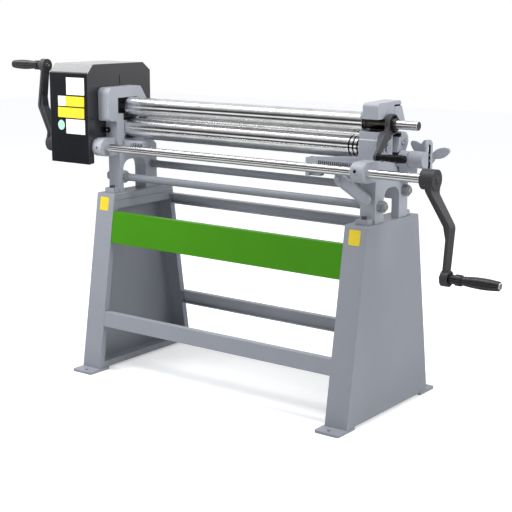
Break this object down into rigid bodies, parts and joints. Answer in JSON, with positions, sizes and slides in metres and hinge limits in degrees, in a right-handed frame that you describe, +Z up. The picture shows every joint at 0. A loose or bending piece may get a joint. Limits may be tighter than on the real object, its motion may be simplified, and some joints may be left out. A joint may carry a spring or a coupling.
{
  "type": "plate rolling machine",
  "caption": "Hand-cranked plate rolling machine with grooved rolls between cast housings, a gear guard, crank handles at both ends and a sheet-metal stand.",
  "frame": {"origin": "middle of the floor contact rectangle, on the floor, halfway between the two housings", "axes": "X along the rolls with the gear guard at -X, -Y the feeding side where the operator stands, +Z up"},
  "size_m": [2.322, 0.692, 1.24],
  "materials": {
    "stand_paint": "satin",
    "cast_paint": "satin",
    "guard_black": "semi-gloss",
    "board_green": "satin",
    "bright_steel": "ground",
    "black_iron": "satin",
    "nut_steel": "oiled",
    "gear_steel": "machined",
    "grip_black": "gloss"
  },
  "bodies": {
    "frame": {"left_stand": "stand_paint", "right_stand": "stand_paint", "left_foot_plates": "stand_paint", "right_foot_plates": "stand_paint", "front_board": "board_green", "front_lower_rail": "stand_paint", "rear_upper_rail": "stand_paint", "rear_lower_rail": "stand_paint", "left_housing": "cast_paint", "right_housing": "cast_paint", "guard_wrap": "guard_black", "guard_inner_panel": "guard_black", "guard_outer_panel": "guard_black", "front_tie_rod": "cast_paint", "rear_tie_rod": "cast_paint", "tie_rod_nuts": "nut_steel", "right_rack_plate": "cast_paint", "left_rack_plate": "cast_paint", "feed_gearbox": "cast_paint", "housing_foot_bolts": "nut_steel"},
    "drive": {"drive_shaft": "bright_steel", "left_crank": "black_iron", "right_crank": "black_iron", "drive_pinion": "gear_steel", "left_grip_bolt": "bright_steel", "right_grip_bolt": "bright_steel"},
    "left_grip_body": {"left_grip": "grip_black"},
    "right_grip_body": {"right_grip": "grip_black"},
    "pressing_roll": {"top_roll": "bright_steel", "bull_gear": "gear_steel", "top_roll_gear": "gear_steel"},
    "lower_feed": {"left_lower_block": "cast_paint", "right_lower_block": "cast_paint"},
    "feeding_roll": {"lower_roll": "bright_steel", "lower_roll_gear": "gear_steel"},
    "rear_swing": {"rear_pivot_shaft": "bright_steel", "left_rear_arm": "cast_paint", "right_rear_arm": "cast_paint"},
    "bending_roll": {"rear_roll": "bright_steel"},
    "feed_knob_body": {"feed_knob": "cast_paint"},
    "paddle_body": {"paddle_lever": "cast_paint"},
    "release_body": {"release_lever": "black_iron", "release_handle": "black_iron"}
  },
  "joints": [
    {"name": "drive_spin", "type": "hinge", "parent": "frame", "child": "drive", "pos_m": [0, -0.178, 0.90111], "axis": [1, 0, 0], "continuous": true},
    {"name": "left_grip_spin", "type": "hinge", "parent": "drive", "child": "left_grip_body", "pos_m": [-1.06, -0.13416, 1.21305], "axis": [1, 0, 0], "continuous": true},
    {"name": "right_grip_spin", "type": "hinge", "parent": "drive", "child": "right_grip_body", "pos_m": [1.06, -0.22184, 0.58918], "axis": [1, 0, 0], "continuous": true},
    {"name": "pressing_roll_spin", "type": "hinge", "parent": "frame", "child": "pressing_roll", "pos_m": [0, -0.052, 1.059], "axis": [1, 0, 0], "continuous": true},
    {"name": "lower_roll_lift", "type": "slide", "parent": "frame", "child": "lower_feed", "axis": [0, 0, 1], "range_m": [0, 0.008]},
    {"name": "feeding_roll_spin", "type": "hinge", "parent": "lower_feed", "child": "feeding_roll", "pos_m": [0, -0.052, 0.975], "axis": [1, 0, 0], "continuous": true},
    {"name": "rear_roll_swing", "type": "hinge", "parent": "frame", "child": "rear_swing", "pos_m": [0, 0.042, 0.931], "axis": [1, 0, 0], "range_deg": [0, 30]},
    {"name": "bending_roll_spin", "type": "hinge", "parent": "rear_swing", "child": "bending_roll", "pos_m": [0, 0.06906, 0.9901], "axis": [1, 0, 0], "continuous": true},
    {"name": "feed_knob_turn", "type": "hinge", "parent": "frame", "child": "feed_knob_body", "pos_m": [0.709, 0.106, 0.931], "axis": [0, 1, 0], "range_deg": [-600, 0]},
    {"name": "paddle_turn", "type": "hinge", "parent": "frame", "child": "paddle_body", "pos_m": [0.5, -0.15, 0.868], "axis": [0, 1, 0], "range_deg": [0, 40.5]},
    {"name": "release_lever_turn", "type": "hinge", "parent": "frame", "child": "release_body", "pos_m": [0.65, -0.052, 1.059], "axis": [1, 0, 0], "range_deg": [-90, 0]}
  ],
  "couplings": [
    {"joint": "pressing_roll_spin", "follows": "drive_spin", "ratio": -0.2625},
    {"joint": "feeding_roll_spin", "follows": "drive_spin", "ratio": 0.2625},
    {"joint": "feed_knob_turn", "follows": "rear_roll_swing", "ratio": -20},
    {"joint": "paddle_turn", "follows": "lower_roll_lift", "rad_per_m": 87}
  ]
}
